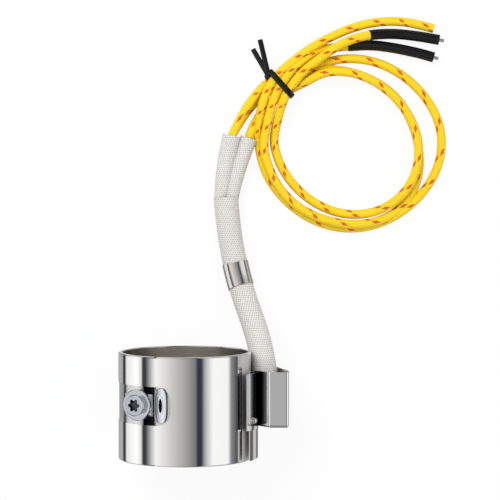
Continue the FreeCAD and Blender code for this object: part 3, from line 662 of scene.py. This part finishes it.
# Tie: a flat plastic strap drawn round the leads, with its two ends out of a small knot.
strap = {
    "middle": (0.0347, 0.1161),
    "turn": 42.0,
    "halfWide": 0.0062,
    "halfHigh": 0.00365,
    "centre": 0.0037,
    "width": 0.0022,
    "thick": 0.00075,
    "power": 0.5,
    "steps": 64,
    "profile": 12,
    "roundness": 0.6,
    "endWidth": 0.86,
    "endThick": 0.9,
    "endEdge": 0.00016,
    "endEdgeSteps": 2,
    "weld": 0.000005,
    "knot": (0.0302, 0.1188, 0.0046),
    "knotSize": (0.0016, 0.0016, 0.0012),
    "ends": ((0.0270, 0.1325, 0.0008), (0.0244, 0.1290, 0.0008)),
}


def addStrapRing(shape):
    along = Vector((math.cos(math.radians(strap["turn"])), math.sin(math.radians(strap["turn"])), 0))
    across = Vector((-along.y, along.x, 0))
    up = Vector((0, 0, 1))
    middle = Vector((*strap["middle"], floorZ + strap["centre"]))
    made = bmesh.ops.create_grid(shape, x_segments=strap["steps"], y_segments=strap["profile"], size=0.5)
    for vert in made["verts"]:
        way = math.tau * (vert.co.x + 0.5)
        side = math.tau * (vert.co.y + 0.5)
        out = across * math.cos(way) / strap["halfWide"] + up * math.sin(way) / strap["halfHigh"]
        out.normalize()
        spot = middle + across * squareness(math.cos(way), strap["power"]) * strap["halfWide"]
        spot += up * squareness(math.sin(way), strap["power"]) * strap["halfHigh"]
        spot += along * squareness(math.cos(side), strap["roundness"]) * strap["width"] / 2
        vert.co = spot + out * squareness(math.sin(side), strap["roundness"]) * strap["thick"] / 2


def addStrapEnd(shape, end):
    start, stop = (Vector((x, y, floorZ + z)) for x, y, z in (strap["knot"], end))
    way = stop - start
    turn = way.to_track_quat("X", "Z").to_matrix().to_4x4()
    section = (strap["width"] * strap["endWidth"], strap["thick"] * strap["endThick"])
    place = Matrix.Translation((start + stop) / 2) @ turn @ Matrix.Diagonal((way.length, *section, 1))
    made = bmesh.ops.create_cube(shape, size=1.0, matrix=place)
    edges = {edge for vert in made["verts"] for edge in vert.link_edges}
    bevelEdges(shape, list(edges), strap["endEdge"], strap["endEdgeSteps"])


def makeStrap():
    shape = bmesh.new()
    addStrapRing(shape)
    bmesh.ops.remove_doubles(shape, verts=shape.verts[:], dist=strap["weld"])
    for end in strap["ends"]:
        addStrapEnd(shape, end)
    place = Matrix.Translation(Vector(strap["knot"]) + Vector((0, 0, floorZ)))
    size = Matrix.Diagonal((*strap["knotSize"], 1))
    bmesh.ops.create_uvsphere(shape, u_segments=16, v_segments=10, radius=1.0, matrix=place @ size)
    made = newPiece("strapTie", shape, tiePlastic, "twist_tie")


makeStrap()
print("catch and tie made")

# Studio: what polished metal mirrors, by the direction seen across the band, in degrees from straight up.
mirrorStops = [
    (-180, (0.8, 0.79, 0.77)),
    (-158, (0.45, 0.45, 0.46)),
    (-136, (0.5, 0.5, 0.51)),
    (-131, (0.05, 0.05, 0.055)),
    (-124, (0.05, 0.05, 0.055)),
    (-119, (0.95, 0.95, 0.95)),
    (-90, (1.25, 1.25, 1.25)),
    (-80, (0.9, 0.9, 0.9)),
    (-76, (0.05, 0.052, 0.06)),
    (-70, (0.05, 0.052, 0.06)),
    (-64, (0.3, 0.3, 0.31)),
    (-50, (1.1, 1.1, 1.09)),
    (-30, (0.85, 0.83, 0.8)),
    (-12, (0.62, 0.61, 0.59)),
    (4, (0.42, 0.42, 0.42)),
    (19, (0.22, 0.23, 0.26)),
    (23, (0.03, 0.034, 0.055)),
    (30, (0.05, 0.055, 0.08)),
    (36, (0.5, 0.52, 0.56)),
    (50, (1.15, 1.15, 1.15)),
    (80, (1.1, 1.1, 1.1)),
    (87, (0.3, 0.3, 0.31)),
    (102, (0.07, 0.07, 0.08)),
    (106, (0.75, 0.75, 0.73)),
    (124, (0.7, 0.7, 0.68)),
    (129, (0.12, 0.12, 0.12)),
    (136, (0.15, 0.15, 0.15)),
    (141, (0.7, 0.69, 0.66)),
    (150, (0.6, 0.59, 0.57)),
    (158, (0.14, 0.14, 0.13)),
    (180, (0.3, 0.29, 0.28)),
]


# Directions that rise or fall along the band are darker, so that rims and bends stand out.
studio = {
    "steepFrom": 0.35,
    "steepGain": 3.0,
    "steepMost": 0.45,
    "steepColour": (0.02, 0.02, 0.025, 1.0),
    "soft": (0.62, 0.63, 0.66, 1.0),
    "white": (1.0, 1.0, 1.0, 1.0),
}


def makeWorld():
    world = bpy.data.worlds.new("studio")
    world.use_nodes = True
    bpy.context.scene.world = world
    shader = Shader(world.node_tree)
    x, y, z = shader.split(shader.wire("ShaderNodeTexCoord", "Generated"))
    ramp = shader.node("ShaderNodeValToRGB", Fac=x.math("ARCTAN2", z) / math.tau + 0.5)
    stops = ramp.color_ramp.elements
    while len(stops) < len(mirrorStops):
        stops.new(0.5)
    for stop, (angle, colour) in zip(stops, mirrorStops):
        stop.position = angle / 360 + 0.5
    for stop, (angle, colour) in zip(stops, mirrorStops):
        stop.color = (*colour, 1.0)
    steep = (y.math("ABSOLUTE") - studio["steepFrom"]) * studio["steepGain"]
    steep = steep.math("MAXIMUM", 0.0).math("MINIMUM", studio["steepMost"])
    mirrored = shader.mix(steep, Wire(world.node_tree, ramp.outputs[0]), studio["steepColour"])
    colour = shader.mix(shader.wire("ShaderNodeLightPath", "Is Glossy Ray"), studio["soft"], mirrored)
    colour = shader.mix(shader.wire("ShaderNodeLightPath", "Is Camera Ray"), colour, studio["white"])
    background = shader.wire("ShaderNodeBackground", Color=colour, Strength=1.0)
    shader.node("ShaderNodeOutputWorld", Surface=background)


# The camera sees a nearly white floor with a trace of shadow, and mirrors see through it.
floorFacts = {"size": 4, "colour": (0.86, 0.86, 0.86, 1.0), "whiter": 0.9}


def makeFloor():
    bpy.ops.mesh.primitive_plane_add(size=floorFacts["size"], location=(0, 0, floorZ))
    floor = bpy.context.object
    floor.name = "floor"
    made, shader = newMaterial("paper")
    paper = shader.wire("ShaderNodeBsdfDiffuse", Color=floorFacts["colour"])
    glow = shader.wire("ShaderNodeEmission", Color=studio["white"], Strength=1.0)
    seen = shader.blend(floorFacts["whiter"], paper, glow)
    paper = shader.blend(shader.wire("ShaderNodeLightPath", "Is Camera Ray"), paper, seen)
    clear = shader.wire("ShaderNodeBsdfTransparent")
    surface = shader.blend(shader.wire("ShaderNodeLightPath", "Is Glossy Ray"), paper, clear)
    shader.node("ShaderNodeOutputMaterial", Surface=surface)
    floor.data.materials.append(made)


lamps = {
    "keyLamp": {"spot": (-0.25, 0.45, 0.6), "size": 0.4, "power": 4.0},
    "fillLamp": {"spot": (0.5, -0.1, 0.6), "size": 0.5, "power": 1.5},
}
lampAim = (0.03, 0.06, 0)


def makeLamp(name, lamp):
    data = bpy.data.lights.new(name, "AREA")
    data.size = lamp["size"]
    data.energy = lamp["power"]
    made = bpy.data.objects.new(name, data)
    bpy.context.collection.objects.link(made)
    made.location = lamp["spot"]
    made.rotation_euler = (Vector(lampAim) - Vector(lamp["spot"])).to_track_quat("-Z", "Y").to_euler()
    made.visible_glossy = False


# The camera stands nearly straight above, over the sleeve, and looks a little back towards the band.
cameraFacts = {
    "spot": (0.02332, 0.08739, 0.73291),
    "tilt": 2.47,
    "lens": 147.0,
    "sensor": 36.0,
    "farthest": 10,
}


def placeCamera():
    data = bpy.data.cameras.new("camera")
    data.lens = cameraFacts["lens"]
    data.sensor_width = cameraFacts["sensor"]
    data.clip_end = cameraFacts["farthest"]
    made = bpy.data.objects.new("camera", data)
    bpy.context.collection.objects.link(made)
    made.location = cameraFacts["spot"]
    made.rotation_euler = (-math.radians(cameraFacts["tilt"]), 0, 0)
    bpy.context.scene.camera = made


makeWorld()
makeFloor()
for name, lamp in lamps.items():
    makeLamp(name, lamp)
placeCamera()
bpy.context.scene.view_settings.view_transform = "Standard"
print("studio made")
